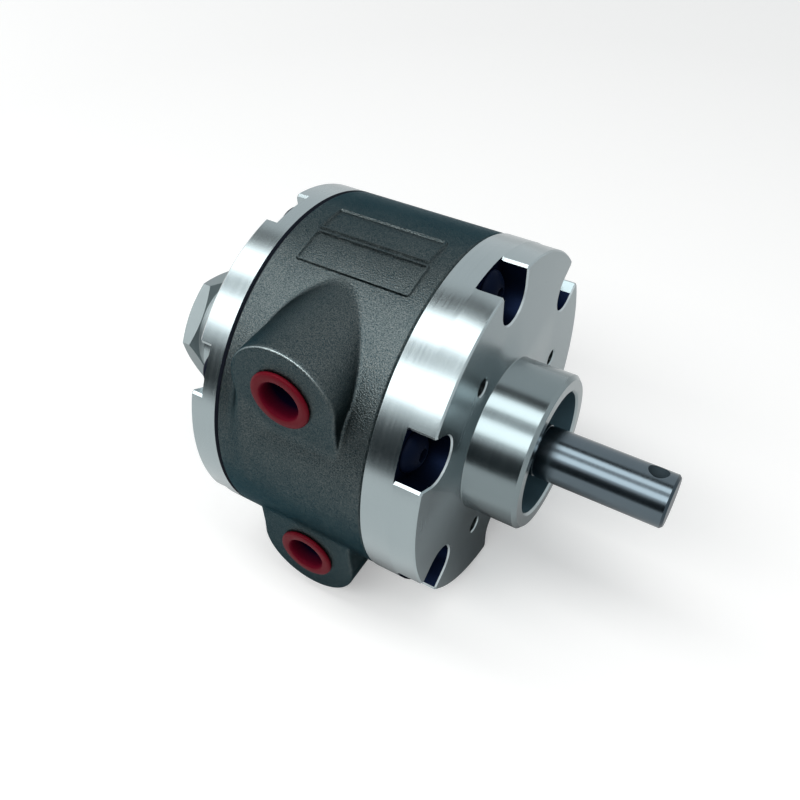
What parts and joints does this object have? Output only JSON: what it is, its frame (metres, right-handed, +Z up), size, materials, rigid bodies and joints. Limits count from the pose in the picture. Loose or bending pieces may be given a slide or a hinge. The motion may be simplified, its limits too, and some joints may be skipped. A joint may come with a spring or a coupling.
{
  "type": "air motor",
  "caption": "Round vane air motor with a cast housing, two side ports, notched end caps, a pilot hub, a straight cross-drilled shaft and a hexagonal rear plug.",
  "frame": {"origin": "on the shaft axis, in the plane of the drive cap's mounting face", "axes": "+X along the shaft towards its output end, -Y the way both ports face, +Z up with one port above the other"},
  "size_m": [0.1269, 0.0858, 0.0858],
  "materials": {
    "cast_body": "grey-green paint on a fine sand casting",
    "machined_aluminium": "turned and faced",
    "plug_aluminium": "turned bar",
    "black_screw": "black oxide",
    "dowel_steel": "ground",
    "shaft_steel": "ground and polished",
    "rotor_iron": "machined",
    "bearing_steel": "ground",
    "cage_steel": "pressed",
    "vane_composite": "smooth laminate",
    "seal_rubber": "moulded",
    "plug_plastic": "moulded, soft gloss"
  },
  "bodies": {
    "motor_case": {"housing": "cast_body", "drive_end_cap": "machined_aluminium", "dead_end_cap": "machined_aluminium", "drive_end_screws": "black_screw", "dead_end_screws": "black_screw", "dowel_pins": "dowel_steel", "hex_end_plug": "plug_aluminium", "end_plug_o_ring": "seal_rubber", "shaft_seal": "seal_rubber", "drive_bearing_outer_ring": "bearing_steel", "dead_bearing_outer_ring": "bearing_steel", "upper_port_plug": "plug_plastic", "lower_port_plug": "plug_plastic"},
    "rotor": {"rotor_drum": "rotor_iron", "shaft": "shaft_steel", "drive_bearing_inner_ring": "bearing_steel", "dead_bearing_inner_ring": "bearing_steel"},
    "drive_ball_set": {"drive_bearing_balls": "bearing_steel", "drive_bearing_cage": "cage_steel"},
    "dead_ball_set": {"dead_bearing_balls": "bearing_steel", "dead_bearing_cage": "cage_steel"},
    "vane_1": {"vane_1": "vane_composite"},
    "vane_2": {"vane_2": "vane_composite"},
    "vane_3": {"vane_3": "vane_composite"},
    "vane_4": {"vane_4": "vane_composite"}
  },
  "joints": [
    {"name": "rotor_spin", "type": "hinge", "parent": "motor_case", "child": "rotor", "pos_m": [0, 0, 0], "axis": [1, 0, 0], "continuous": true},
    {"name": "drive_balls_roll", "type": "hinge", "parent": "motor_case", "child": "drive_ball_set", "pos_m": [0, 0, 0], "axis": [1, 0, 0], "continuous": true},
    {"name": "dead_balls_roll", "type": "hinge", "parent": "motor_case", "child": "dead_ball_set", "pos_m": [0, 0, 0], "axis": [1, 0, 0], "continuous": true},
    {"name": "vane_1_slide", "type": "slide", "parent": "rotor", "child": "vane_1", "axis": [0, 0.7071, 0.7071], "range_m": [0, 0.001]},
    {"name": "vane_2_slide", "type": "slide", "parent": "rotor", "child": "vane_2", "axis": [0, -0.7071, 0.7071], "range_m": [0, 0.001]},
    {"name": "vane_3_slide", "type": "slide", "parent": "rotor", "child": "vane_3", "axis": [0, -0.7071, -0.7071], "range_m": [0, 0.001]},
    {"name": "vane_4_slide", "type": "slide", "parent": "rotor", "child": "vane_4", "axis": [0, 0.7071, -0.7071], "range_m": [0, 0.001]}
  ],
  "couplings": [
    {"joint": "drive_balls_roll", "follows": "rotor_spin", "ratio": 0.388},
    {"joint": "dead_balls_roll", "follows": "rotor_spin", "ratio": 0.388}
  ]
}
